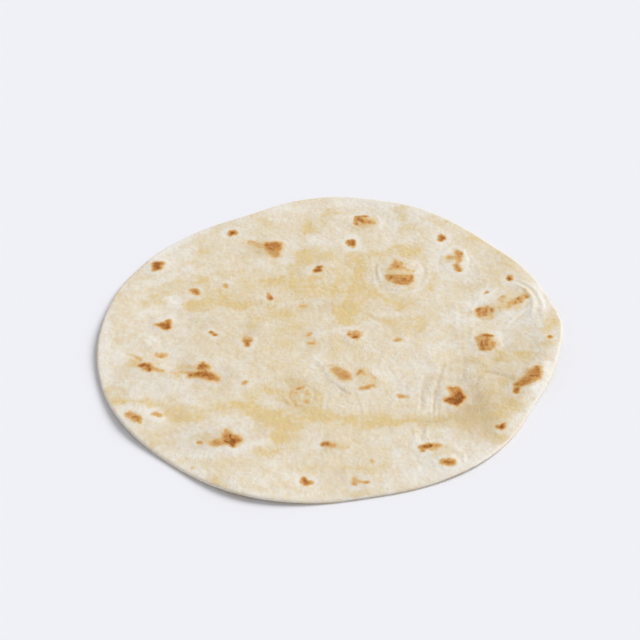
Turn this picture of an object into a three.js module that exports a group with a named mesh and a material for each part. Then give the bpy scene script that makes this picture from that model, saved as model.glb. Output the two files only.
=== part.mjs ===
// A flour tortilla as it lies on a table: one soft, round sheet of baked dough, about 2 mm thick.
// Low blisters stand where steam lifted the dough off the griddle, and the rim curls up a little on its sides.
//
// Millimetres, +Z up. The origin is on the table, under the middle of the tortilla. +X is to the right of
// somebody who looks along +Y, and directions round the rim are in degrees from +X towards +Y.
import * as THREE from "three";

// The sheet
const MEAN_RADIUS = 100;
const DOUGH_THICKNESS = 2.0;
const RIM_THICKNESS = 1.7;
const RIM_THINS_OVER = 12; // how far in from the edge the dough begins to thin
const EDGE_ROUNDING = 0.9; // how far the rounded edge stands out from the two faces

// The faces and the edge as triangles
const CELLS_ACROSS = 48;
const EDGE_ROWS = 4;

// Where the rim bulges out (+) or runs flat (-): direction, millimetres, and how wide it is in degrees
const RIM_FEATURES = [
  { toward: 358, out: 1.9, wide: 9 },
  { toward: 35, out: -2.6, wide: 17 },
  { toward: 86, out: 3.2, wide: 13 },
  { toward: 111, out: -2.8, wide: 10 },
  { toward: 139, out: 0.9, wide: 6 },
  { toward: 153, out: 1.5, wide: 11 },
  { toward: 226, out: -1.3, wide: 12 },
  { toward: 251, out: 1.6, wide: 13 },
  { toward: 277, out: -1, wide: 9 },
  { toward: 304, out: 1.6, wide: 12 },
  { toward: 328, out: -1.7, wide: 8 },
];

// Where the sheet bends up off the table: direction, how far from the middle it begins, and its rise at the rim
const CURLS = [
  { toward: -14, from: 40, rise: 2.8 },
  { toward: 85, from: 52, rise: 1.4 },
  { toward: 196, from: 50, rise: 2.4 },
  { toward: 262, from: 66, rise: 1.0 },
];

// Ripples of the soft sheet, which lies flat in its middle and is freest at its rim: the direction a ripple
// runs in, its length, its height either way at the rim, and its shift
const RIPPLES = [
  { along: 25, length: 74, height: 0.6, shift: 0.9 },
  { along: 118, length: 58, height: 0.5, shift: 2.1 },
];
const SETTLED = 0.15; // what the sheet's own weight presses flat again
const TOUCHDOWN = 0.6; // the rise over which the underside leaves the table

// Blisters: place, half length, half width, turn of the length in degrees, and height
const BLISTERS = [
  { x: 33, y: 40, long: 15, wide: 14, turn: 90, height: 1.1 },
  { x: 61, y: 46, long: 12, wide: 8, turn: 80, height: 0.8 },
  { x: -43, y: -60, long: 22, wide: 14, turn: -10, height: 1.1 },
  { x: 68, y: -11, long: 10, wide: 8, turn: 100, height: 0.8 },
  { x: 77, y: 12, long: 17, wide: 9, turn: 24, height: 0.9 },
  { x: 51, y: -44, long: 11, wide: 9, turn: 70, height: 0.9 },
  { x: 83, y: -36, long: 13, wide: 8, turn: 45, height: 0.8 },
  { x: 11, y: -29, long: 16, wide: 11, turn: -25, height: 0.9 },
  { x: -23, y: 65, long: 11, wide: 8, turn: -30, height: 0.8 },
  { x: 21, y: 79, long: 11, wide: 8, turn: -15, height: 0.7 },
  { x: -76, y: 56, long: 8, wide: 7, turn: 60, height: 0.6 },
  { x: -71, y: 13, long: 9, wide: 8, turn: 20, height: 0.6 },
  { x: -77, y: -45, long: 13, wide: 9, turn: 10, height: 0.7 },
  { x: -54, y: -18, long: 10, wide: 8, turn: -25, height: 0.7 },
  { x: -77, y: -12, long: 11, wide: 8, turn: -15, height: 0.7 },
  { x: 42, y: -78, long: 12, wide: 9, turn: -45, height: 0.7 },
  { x: 1, y: -69, long: 9, wide: 7, turn: -15, height: 0.6 },
  { x: 12, y: -2, long: 8, wide: 7, turn: 0, height: 0.5 },
];

const radians = THREE.MathUtils.degToRad;

// The distance from the middle to the rim in one direction: a circle with soft bumps and flats on it.
function rimRadius(angle) {
  let radius = MEAN_RADIUS;
  for (const { toward, out, wide } of RIM_FEATURES) {
    const away = angle - radians(toward);
    const turned = Math.atan2(Math.sin(away), Math.cos(away)) / radians(wide);
    radius += out * Math.exp(-turned * turned);
  }
  return radius;
}

// The height of the underside: flat on the table, with a smooth take-off into the curls and ripples.
function underside(x, y) {
  const freedom = (Math.hypot(x, y) / MEAN_RADIUS) ** 2;
  let rise = -SETTLED;
  for (const { toward, from, rise: height } of CURLS) {
    const along = x * Math.cos(radians(toward)) + y * Math.sin(radians(toward));
    rise += height * Math.max(0, (along - from) / (MEAN_RADIUS - from)) ** 2;
  }
  for (const { along, length, height, shift } of RIPPLES) {
    const distance = x * Math.cos(radians(along)) + y * Math.sin(radians(along));
    rise += height * freedom * Math.sin((2 * Math.PI * distance) / length + shift);
  }
  if (rise <= 0) return 0;
  return rise < TOUCHDOWN ? (rise * rise) / (2 * TOUCHDOWN) : rise - TOUCHDOWN / 2;
}

// A blister is a low oval dome, highest in its middle and level with the sheet at its foot.
function blisterHeight(x, y) {
  let height = 0;
  for (const blister of BLISTERS) {
    const turn = radians(blister.turn);
    const dx = x - blister.x;
    const dy = y - blister.y;
    const along = (dx * Math.cos(turn) + dy * Math.sin(turn)) / blister.long;
    const across = (dy * Math.cos(turn) - dx * Math.sin(turn)) / blister.wide;
    const inside = Math.max(0, 1 - along * along - across * across);
    height = Math.max(height, blister.height * inside * inside);
  }
  return height;
}

// The dough's own thickness, which falls off over a band along the rim.
function doughThickness(x, y) {
  const fromRim = rimRadius(Math.atan2(y, x)) - Math.hypot(x, y);
  const thinning = Math.max(0, 1 - fromRim / RIM_THINS_OVER);
  return DOUGH_THICKNESS - (DOUGH_THICKNESS - RIM_THICKNESS) * thinning * thinning;
}

// Turns a point of the square from -1 to 1 into a point of the unit disc, with cells of nearly one size.
function squareToDisc(a, b) {
  if (a === 0 && b === 0) return new THREE.Vector2();
  const widest = Math.abs(a) > Math.abs(b);
  const radius = widest ? a : b;
  const angle = widest ? (Math.PI / 4) * (b / a) : Math.PI / 2 - (Math.PI / 4) * (a / b);
  return new THREE.Vector2(radius * Math.cos(angle), radius * Math.sin(angle));
}

// The grid's outermost points in order, anticlockwise from the corner at its low x and low y.
function boundaryIndices(cells) {
  const row = cells + 1;
  const ring = [];
  for (let i = 0; i < cells; i += 1) ring.push(i);
  for (let i = 0; i < cells; i += 1) ring.push(i * row + cells);
  for (let i = 0; i < cells; i += 1) ring.push(cells * row + cells - i);
  for (let i = 0; i < cells; i += 1) ring.push((cells - i) * row);
  return ring;
}

// The plan of both faces: the grid of the square laid out on the tortilla, short of its rounded edge.
function planPoints(cells) {
  const points = [];
  for (let j = 0; j <= cells; j += 1) {
    for (let i = 0; i <= cells; i += 1) {
      const unit = squareToDisc((2 * i) / cells - 1, (2 * j) / cells - 1);
      const reach = rimRadius(Math.atan2(unit.y, unit.x)) - EDGE_ROUNDING;
      points.push(unit.multiplyScalar(reach));
    }
  }
  return points;
}

// The closed sheet: a top face, the same triangles turned over below it, and a rounded edge between them.
function sheetGeometry() {
  const plan = planPoints(CELLS_ACROSS);
  const row = CELLS_ACROSS + 1;
  const ring = boundaryIndices(CELLS_ACROSS);
  const positions = [];
  const faces = [];

  for (const { x, y } of plan) {
    positions.push(x, y, underside(x, y) + doughThickness(x, y) + blisterHeight(x, y));
  }
  for (const { x, y } of plan) positions.push(x, y, underside(x, y));

  for (let j = 0; j < CELLS_ACROSS; j += 1) {
    for (let i = 0; i < CELLS_ACROSS; i += 1) {
      const a = j * row + i;
      const [b, c, d] = [a + 1, a + row + 1, a + row];
      faces.push([a, b, c], [a, c, d]);
      faces.push([c + plan.length, b + plan.length, a + plan.length]);
      faces.push([d + plan.length, c + plan.length, a + plan.length]);
    }
  }

  // The edge's rows run from the top face's outermost points, round the edge, to the bottom face's.
  const rows = [ring];
  for (let step = 1; step < EDGE_ROWS; step += 1) {
    const tilt = Math.PI / 2 - (Math.PI * step) / EDGE_ROWS;
    const first = positions.length / 3;
    for (const index of ring) {
      const { x, y } = plan[index];
      const half = doughThickness(x, y) / 2;
      const outward = 1 + (EDGE_ROUNDING * Math.cos(tilt)) / Math.hypot(x, y);
      positions.push(x * outward, y * outward, underside(x, y) + half + half * Math.sin(tilt));
    }
    rows.push(ring.map((_, place) => first + place));
  }
  rows.push(ring.map((index) => index + plan.length));

  for (let step = 0; step < EDGE_ROWS; step += 1) {
    const [upper, lower] = [rows[step], rows[step + 1]];
    for (let place = 0; place < ring.length; place += 1) {
      const next = (place + 1) % ring.length;
      faces.push([upper[place], lower[place], lower[next]], [upper[place], lower[next], upper[next]]);
    }
  }

  const geometry = new THREE.BufferGeometry();
  geometry.setAttribute("position", new THREE.Float32BufferAttribute(positions, 3));
  geometry.setIndex(faces.flat());
  geometry.computeBoundingBox();
  const middle = geometry.boundingBox.getCenter(new THREE.Vector3());
  geometry.translate(-middle.x, -middle.y, 0);
  geometry.computeVertexNormals();
  return geometry;
}

function tortilla() {
  const bakedDough = new THREE.MeshStandardMaterial({ color: "#e6d8b8", roughness: 0.8, metalness: 0 });
  const mesh = new THREE.Mesh(sheetGeometry(), bakedDough);
  mesh.name = "tortilla";
  return mesh;
}

const group = new THREE.Group();
group.add(tortilla());
export default group;
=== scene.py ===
# %% [markdown]
# # A flour tortilla
# The object is one round sheet of soft wheat dough, about 20 cm across and 2 mm thick, baked on a hot
# griddle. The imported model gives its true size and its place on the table. This script makes the fine sheet
# that the eye sees, in that same place, and gives it the look of baked dough: cream and mottled, golden
# where the griddle browned it a little, and toasted brown where a blister touched the hot metal.
#
# Blender counts in metres, but dough is easier to think of in millimetres. Shapes are therefore worked out
# in millimetres, as whole numpy arrays, and are turned into metres only when they become a mesh.

import bpy
import numpy as np
from mathutils import Matrix, Vector


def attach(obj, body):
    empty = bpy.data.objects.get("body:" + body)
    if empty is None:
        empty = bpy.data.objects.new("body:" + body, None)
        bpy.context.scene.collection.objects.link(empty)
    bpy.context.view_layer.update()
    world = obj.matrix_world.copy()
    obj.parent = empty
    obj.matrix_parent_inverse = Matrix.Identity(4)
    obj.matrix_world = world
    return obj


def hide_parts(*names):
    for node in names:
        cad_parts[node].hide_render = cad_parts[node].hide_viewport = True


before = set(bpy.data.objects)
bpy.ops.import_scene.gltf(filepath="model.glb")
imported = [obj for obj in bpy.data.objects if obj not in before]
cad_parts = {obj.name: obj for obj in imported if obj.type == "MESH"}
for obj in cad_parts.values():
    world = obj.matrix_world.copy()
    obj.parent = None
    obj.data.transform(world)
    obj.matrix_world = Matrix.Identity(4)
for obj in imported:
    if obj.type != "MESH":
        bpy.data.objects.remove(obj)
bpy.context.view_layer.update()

MM = 0.001


def in_mm(*corners):
    """Coordinates in metres, as a list of rounded millimetres."""
    return [round(value / MM, 2) for corner in corners for value in corner]


# %% [markdown]
# ## The camera
# The photograph looks down on the sheet at about 40 degrees, from not quite a metre away, and leans over a
# little to the left. A camera can be aimed with a constraint or with angles. Here its three axes are worked
# out and put into its matrix as columns, because that shows plainly what a camera is: a place, a direction
# and an up.

# %% Make the camera
CAMERA_ABOVE_HORIZON = np.radians(39.81)
CAMERA_LEAN = np.radians(-3.32)
CAMERA_DISTANCE = 783.5 * MM
CAMERA_LOOKS_AT = Vector((-3.57, 11.52, 0)) * MM
LENS_LENGTH = 100
SENSOR_WIDTH = 36


def add_camera():
    """The camera looks from `back` at its target, with its own right and up turned by the lean."""
    back = Vector((0, -np.cos(CAMERA_ABOVE_HORIZON), np.sin(CAMERA_ABOVE_HORIZON)))
    level_right = Vector((1, 0, 0))
    level_up = back.cross(level_right)
    right = level_right * np.cos(CAMERA_LEAN) + level_up * np.sin(CAMERA_LEAN)
    up = level_up * np.cos(CAMERA_LEAN) - level_right * np.sin(CAMERA_LEAN)
    data = bpy.data.cameras.new("camera")
    data.lens = LENS_LENGTH
    data.sensor_width = SENSOR_WIDTH
    camera = bpy.data.objects.new("camera", data)
    camera.matrix_world = Matrix((right, up, back)).transposed().to_4x4()
    camera.location = CAMERA_LOOKS_AT + back * CAMERA_DISTANCE
    bpy.context.scene.collection.objects.link(camera)
    bpy.context.scene.camera = camera
    return camera


print("camera stands at, in mm:", in_mm(add_camera().location))

# %% [markdown]
# ## The form of the sheet
# A tortilla is pressed or rolled from a ball of dough, so its outline is a circle with soft bulges and
# flats. It is thinner at the rim, lies flat in the middle, and curls up where it dried. Steam lifts low
# blisters on it. Each of these is a formula over the plan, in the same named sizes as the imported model, so
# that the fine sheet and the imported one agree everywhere.

# %% The outline, in millimetres and degrees
MEAN_RADIUS = 100

# Where the rim bulges out (+) or runs flat (-): direction, millimetres, how wide in degrees
RIM_FEATURES = [
    (358, 1.9, 9), (35, -2.6, 17), (86, 3.2, 13), (111, -2.8, 10), (139, 0.9, 6), (153, 1.5, 11),
    (226, -1.3, 12), (251, 1.6, 13), (277, -1, 9), (304, 1.6, 12), (328, -1.7, 8),
]


def rim_radius(angle):
    """The mean radius, plus out * exp(-(turn / wide)^2) for each bulge or flat."""
    radius = np.full_like(angle, MEAN_RADIUS)
    for toward, out, wide in RIM_FEATURES:
        turned = (np.degrees(angle) - toward + 180) % 360 - 180
        radius += out * np.exp(-((turned / wide) ** 2))
    return radius


all_round = np.radians(np.arange(0.0, 360.0))
rim = rim_radius(all_round)
print("radius, least and most in mm:", rim.min().round(1), rim.max().round(1))

# %% The underside
# Where the sheet bends up off the table: direction, how far from the middle it begins, rise at the rim
CURLS = [(-14, 40, 2.8), (85, 52, 1.4), (196, 50, 2.4), (262, 66, 1.0)]

# Ripples: the direction one runs in, its length, its height at the rim, its shift
RIPPLES = [(25, 74, 0.6, 0.9), (118, 58, 0.5, 2.1)]

# What the sheet's own weight presses flat again, and the rise over which it leaves the table
SETTLED = 0.15
TOUCHDOWN = 0.6


def distance_along(x, y, direction):
    """How far a point lies from the middle, measured along one direction in degrees."""
    return x * np.cos(np.radians(direction)) + y * np.sin(np.radians(direction))


def underside(x, y):
    """Curls grow with the square of the way past their start, ripples with the square of the radius. What
    the sheet's weight presses down lies flat, and the take-off from the table is a short parabola."""
    rise = np.full_like(x, -SETTLED)
    for toward, start, height in CURLS:
        past = np.maximum(0, (distance_along(x, y, toward) - start) / (MEAN_RADIUS - start))
        rise += height * past**2
    freedom = (np.hypot(x, y) / MEAN_RADIUS) ** 2
    for along, length, height, shift in RIPPLES:
        rise += height * freedom * np.sin(2 * np.pi * distance_along(x, y, along) / length + shift)
    lifted = np.where(rise < TOUCHDOWN, rise**2 / (2 * TOUCHDOWN), rise - TOUCHDOWN / 2)
    return np.where(rise <= 0, 0, lifted)


rim_lift = underside(rim * np.cos(all_round), rim * np.sin(all_round))
print("the rim lifts up to", rim_lift.max().round(1), "mm")

# %% The blisters and the dough's thickness
# Blisters: x, y, half length, half width, turn of the length in degrees, height
BLISTERS = [
    (33, 40, 15, 14, 90, 1.1), (61, 46, 12, 8, 80, 0.8), (-43, -60, 22, 14, -10, 1.1),
    (68, -11, 10, 8, 100, 0.8), (77, 12, 17, 9, 24, 0.9), (51, -44, 11, 9, 70, 0.9),
    (83, -36, 13, 8, 45, 0.8), (11, -29, 16, 11, -25, 0.9), (-23, 65, 11, 8, -30, 0.8),
    (21, 79, 11, 8, -15, 0.7), (-76, 56, 8, 7, 60, 0.6), (-71, 13, 9, 8, 20, 0.6),
    (-77, -45, 13, 9, 10, 0.7), (-54, -18, 10, 8, -25, 0.7), (-77, -12, 11, 8, -15, 0.7),
    (42, -78, 12, 9, -45, 0.7), (1, -69, 9, 7, -15, 0.6), (12, -2, 8, 7, 0, 0.5),
]

# The dough, the dough at the rim, and the width of the band where it thins
DOUGH_THICKNESS = 2.0
RIM_THICKNESS = 1.7
RIM_THINS_OVER = 12


def blister_height(x, y):
    """The highest of the oval domes at a point: height * (1 - the square of the way out to the oval)^2."""
    domes = []
    for centre_x, centre_y, long, wide, turn, height in BLISTERS:
        along = distance_along(x - centre_x, y - centre_y, turn) / long
        across = distance_along(x - centre_x, y - centre_y, turn + 90) / wide
        domes.append(height * np.maximum(0, 1 - along**2 - across**2) ** 2)
    return np.max(domes, axis=0)


def from_rim(x, y):
    """How far a point lies inside the outline."""
    return rim_radius(np.arctan2(y, x)) - np.hypot(x, y)


def dough_thickness(x, y):
    """Full thickness, less a little that grows as the square of the way into the band along the rim."""
    thinning = np.clip(1 - from_rim(x, y) / RIM_THINS_OVER, 0, 1)
    return DOUGH_THICKNESS - (DOUGH_THICKNESS - RIM_THICKNESS) * thinning**2


print("blisters:", len(BLISTERS))

# %% [markdown]
# ## Chance, with a fixed seed
# Dough is never even. Its small hollows, wrinkles and colour changes are drawn with gradient noise: every
# corner of an invisible lattice gets a random slope, and the surface between four corners blends the four
# slopes. One lattice gives lumps of one size, so several are added for a natural look. Fixed seeds give the
# same tortilla each time the script runs.

# %% Noise with lumps of a given size
LATTICE = 256
NOISE_GAIN = 1.5


def noise(x, y, size, seed):
    """Gradient noise from about -1 to 1: the corners' slopes times the way to them, blended by a
    fifth-power step in each direction. `size` is the distance between lattice corners in millimetres."""
    angles = np.random.default_rng(seed).uniform(0, 2 * np.pi, (LATTICE, LATTICE))
    u = x / size
    v = y / size
    column = np.floor(u).astype(int)
    row = np.floor(v).astype(int)
    across = u - column
    along = v - row

    def corner(i, j):
        angle = angles[(column + i) % LATTICE, (row + j) % LATTICE]
        return np.cos(angle) * (across - i) + np.sin(angle) * (along - j)

    blend_across = across**3 * (across * (across * 6 - 15) + 10)
    blend_along = along**3 * (along * (along * 6 - 15) + 10)
    near = corner(0, 0) + (corner(1, 0) - corner(0, 0)) * blend_across
    far = corner(0, 1) + (corner(1, 1) - corner(0, 1)) * blend_across
    return NOISE_GAIN * (near + (far - near) * blend_along)


def layered_noise(x, y, layers):
    """The sum of noise layers, each with its lump size, height and seed."""
    return sum(height * noise(x, y, size, seed) for size, height, seed in layers)


def shifted(x, y, size, reach, seed):
    """Moves points by noise, so that what is drawn with them gets the ragged edges of something baked."""
    return x + reach * noise(x, y, size, seed), y + reach * noise(x, y, size, seed + 1)


sample = noise(all_round, rim, 9, 1)
print("a sample of noise, least and most:", sample.min().round(2), sample.max().round(2))

# %% [markdown]
# ## Strokes
# Nearly every mark on a tortilla is a short tapered stroke or a few of them run together: a toasted spot,
# the ragged tail it trails, a golden patch, a pale ring, a crease. So one stroke is the tool for all of
# them. It goes from one point to another, x1, y1, x2, y2, with a half width at each end; one half width
# alone makes it even. A round spot is a stroke with both ends close by.

# %% Measure how deep a point lies inside a stroke
def stroke_depth(x, y, x1, y1, x2, y2, half, end_half=None):
    """The half width at the nearest point of the stroke's middle line, less the distance to that point."""
    end_half = half if end_half is None else end_half
    run = np.array([x2 - x1, y2 - y1], float)
    share = ((x - x1) * run[0] + (y - y1) * run[1]) / max(run @ run, 1e-9)
    share = np.clip(share, 0, 1)
    off = np.hypot(x - x1 - share * run[0], y - y1 - share * run[1])
    return half + (end_half - half) * share - off


def smooth_step(value, low, high):
    """0 below low, 1 above high, and 3t^2 - 2t^3 between."""
    t = np.clip((value - low) / (high - low), 0, 1)
    return t * t * (3 - 2 * t)


print("depth halfway along a stroke of half width 2, then 1:", stroke_depth(5, 0, 0, 0, 10, 0, 2, 1))

# %% [markdown]
# ## Toasted marks
# Where a blister pressed on the griddle, its skin toasted. Each mark on the real top is a group of strokes
# here, given as a stroke's two ends and half widths, and how far it toasted, from 0.15 (a hint of
# gold) through 0.6 (orange) to 1.1 (dark brown). They are listed by quarters of the sheet.
#
# The places were read on a flat plan at the height of the sheet's middle, looking the way the camera does.
# Where the sheet stands higher than that, the same thing really lies a little nearer to the camera.

# %% The toasted marks of the back left quarter
TOAST_BACK_LEFT = [
    (-76.6, 57.8, -76.4, 54, 1.5, 1.6, 0.9), (-75.6, 57.6, -75, 55, 1.9, 1.7, 1),
    (-75.2, 58.2, -73.6, 57.6, 1.2, 0.8), (-41.8, 78.6, -41.8, 76.9, 1.3, 1.2, 0.9),
    (-40.6, 78.9, -40, 77.4, 1.3, 1.2, 0.8), (-41.3, 78.4, -41.1, 78, 0.5, 1.15),
    (-37.6, 72.8, -35, 71.6, 0.6, 0.7, 0.15), (-24.6, 67.2, -20.6, 66.8, 2.3, 2.7, 0.82),
    (-23.6, 64.8, -20.8, 64.2, 2.7, 2.8, 0.78), (-24.6, 67.4, -20.8, 67.6, 0.7, 1.2, 0.92),
    (-22.2, 61.8, -21, 59, 3.1, 2, 0.6), (-29.6, 67.6, -26, 66.4, 2.2, 2.8, 0.36),
    (-33.2, 69.6, -28.8, 68, 1.8, 2.2, 0.34), (-33.4, 70.4, -31.2, 69.8, 1, 1.1, 0.42),
    (-59.8, 36.9, -58.2, 36.6, 0.8, 1.2, 0.75), (-57.8, 35.8, -57, 34.2, 1.4, 1.1, 0.85),
    (-44.4, 39.4, -44.2, 38, 0.9, 0.6), (-25.1, 31.2, -25.1, 31, 0.6, 0.55),
    (-24.9, 29.4, -24.4, 27.4, 0.8, 1.1, 0.7), (-23.8, 28.6, -23.8, 27.4, 0.4, 0.95),
    (-10.8, 21.5, -9, 20.8, 1.1, 1.5, 0.42), (-74.4, 14, -71.6, 13.6, 1, 2, 0.9),
    (-69.4, 15.8, -69.6, 11.4, 1.4, 1.5, 0.95), (-72, 12.4, -70, 11.2, 1.2, 1.4, 0.8),
    (-69.6, 14, -69.4, 11.2, 0.7, 1.1), (-50.7, 6.9, -48.5, 4.8, 0.3, 0.4, 0.85),
    (-35.6, 1.6, -34, 1.2, 1.7, 0.4), (-35.6, -0.2, -33.6, -0.6, 1.3, 1.2, 0.75),
    (-35, -1.6, -34.4, -3.6, 1.1, 0.8, 0.85), (-36, 4.6, -36.2, 6.6, 1.3, 0.9, 0.15),
    (-8, 1, -7.2, 2.4, 0.9, 0.48), (-7.6, -4.6, -6.2, -4.6, 1.2, 1.1, 0.55),
    (-5.8, -1.6, -5.6, -3.2, 0.4, 0.5, 0.35), (-88.6, 14.6, -88.2, 14, 1.2, 0.2),
    (-35.2, 40.8, -32.8, 40.2, 1, 0.12), (0.8, 19.5, 2.6, 19.1, 0.7, 0.13), (-3.2, 46, -2, 46, 1.4, 1.05),
    (-2, 48.2, -1, 48.4, 1.2, 1, 0.95),
]
print("strokes, back left:", len(TOAST_BACK_LEFT))

# %% The toasted marks of the back right quarter
TOAST_BACK_RIGHT = [
    (17.2, 85, 22.2, 84.8, 0.55, 0.45, 0.8), (17.2, 84.2, 16.9, 80, 0.9, 1, 0.64),
    (18.8, 82.8, 23.2, 80.4, 2, 2.4, 0.52), (18.4, 83.2, 19.8, 81.6, 1, 0.88),
    (20.4, 81, 23.2, 80.4, 1.5, 0.75), (23.6, 80.2, 25, 79.6, 1.4, 1.2, 0.6),
    (17, 79.6, 17, 79.2, 0.7, 0.7), (17.6, 79.2, 23, 78.6, 1.6, 0.36),
    (17.2, 77.6, 17.4, 74.8, 1.2, 0.9, 0.25), (18.4, 77.2, 25.4, 77.2, 1.8, 2, 0.25),
    (23.6, 77.6, 23.6, 73, 1.4, 1, 0.24), (12.8, 65.6, 13.2, 63.8, 1.3, 1.2, 0.8),
    (14.5, 66.2, 14.6, 63.6, 0.9, 1), (12.4, 66.6, 14.8, 66.8, 0.6, 0.8),
    (14.4, 62.6, 14.4, 61.8, 0.8, 0.6, 0.45), (55.6, 66.6, 55.4, 63.8, 1.2, 1.5, 0.8),
    (56.4, 65.4, 56.5, 64.6, 0.7, 1.1), (55, 63.5, 55.4, 63.2, 0.7, 0.95),
    (55.5, 67.6, 55.5, 67.2, 0.7, 0.8, 0.4), (33.4, 49.4, 33.2, 46, 1.1, 2.9, 0.58),
    (33.4, 46.6, 34.2, 45, 1.3, 1.4, 0.75), (35.4, 48.4, 35.8, 47.4, 0.6, 0.5, 0.6),
    (30.2, 43.9, 31.4, 44.3, 1, 0.9, 0.5), (33, 43.9, 36.6, 43.6, 1.2, 1.1, 0.42),
    (35.6, 45.4, 36.8, 44, 1.4, 1.1, 0.45), (38, 42.6, 38.8, 42, 0.9, 0.8, 0.36),
    (40.5, 41.3, 40.9, 41, 0.7, 0.6, 0.33), (37.7, 46.8, 37.8, 46.6, 0.4, 0.32),
    (28.8, 39.2, 38.8, 37.8, 1, 0.68), (30.4, 37.2, 38.6, 36.2, 1.4, 1.6, 0.7),
    (31.8, 35, 38.2, 34.2, 1.5, 1.8, 0.7), (32.6, 33.8, 37.5, 32.7, 1, 0.7),
    (39.4, 38, 39.4, 34.6, 0.7, 0.9, 0.85), (28.6, 38.8, 29.8, 36.2, 0.9, 1, 0.55),
    (29.2, 41.6, 38.6, 41.2, 1.4, 0.2), (30.2, 38.2, 30.4, 37.2, 0.8, 0.95),
    (36, 36.4, 36.4, 36, 0.6, 0.95), (61.6, 54.6, 62.4, 50.4, 1.1, 1.8, 0.6),
    (61.6, 54, 61.4, 53, 0.6, 0.5, 0.72), (63.3, 52.9, 63.2, 51.6, 0.5, 0.75),
    (57.6, 50, 60.6, 50, 1.8, 0.45), (61.6, 49.6, 62.2, 47.6, 1.7, 1.4, 0.52),
    (62, 47, 61.4, 45.8, 1, 0.9, 0.45), (60.4, 44, 61.2, 40.8, 1.2, 1.5, 0.68),
    (61.2, 40.8, 61.4, 40, 1, 0.8, 0.85), (83.3, 33.6, 83.1, 31.6, 1, 1.2, 0.7),
    (82.9, 32.5, 82.9, 31.5, 0.6, 1.05), (66.8, 11.2, 67.4, 7.6, 1.3, 0.65),
    (66.5, 10.9, 67.4, 11.8, 0.6, 0.95), (69.2, 12, 69.6, 8, 1.4, 1.6, 0.55),
    (71, 13.2, 72.2, 12.4, 1.2, 0.8, 0.42), (72.8, 11.6, 72.8, 10.2, 0.6, 0.5, 0.8),
    (71.8, 8.8, 72.4, 5.8, 1, 0.9, 0.38), (69, 9.8, 69.4, 7.6, 0.4, 0.75),
    (70.6, 12.4, 70.4, 9.6, 0.4, 0.75), (76.4, 12.2, 81.4, 13.6, 2, 2.2, 0.26),
    (80.8, 15.2, 80.6, 12.8, 0.7, 0.5), (77.2, 17.6, 78.8, 19.6, 2, 1.6, 0.3),
    (81.4, 14.6, 84, 16, 1.8, 2.6, 0.45), (84.4, 16.2, 88.4, 18.8, 2.2, 2, 0.46),
    (88.6, 20, 88.8, 23.4, 1.3, 1.1, 0.28), (78.6, 19.7, 78.8, 19.9, 0.35, 0.3, 0.75),
    (85.1, 17.9, 85.1, 17, 0.6, 0.85), (83.4, 15.6, 83.4, 14.8, 0.65, 0.75),
    (88.9, 18.3, 88.9, 18.1, 0.6, 0.9), (86.2, 15.4, 86.3, 15.4, 0.5, 0.7),
    (77.9, 16.2, 78, 16.2, 0.4, 0.5), (71.8, 23.1, 72.3, 23.6, 0.4, 0.35, 0.6),
]
print("strokes, back right:", len(TOAST_BACK_RIGHT))

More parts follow.
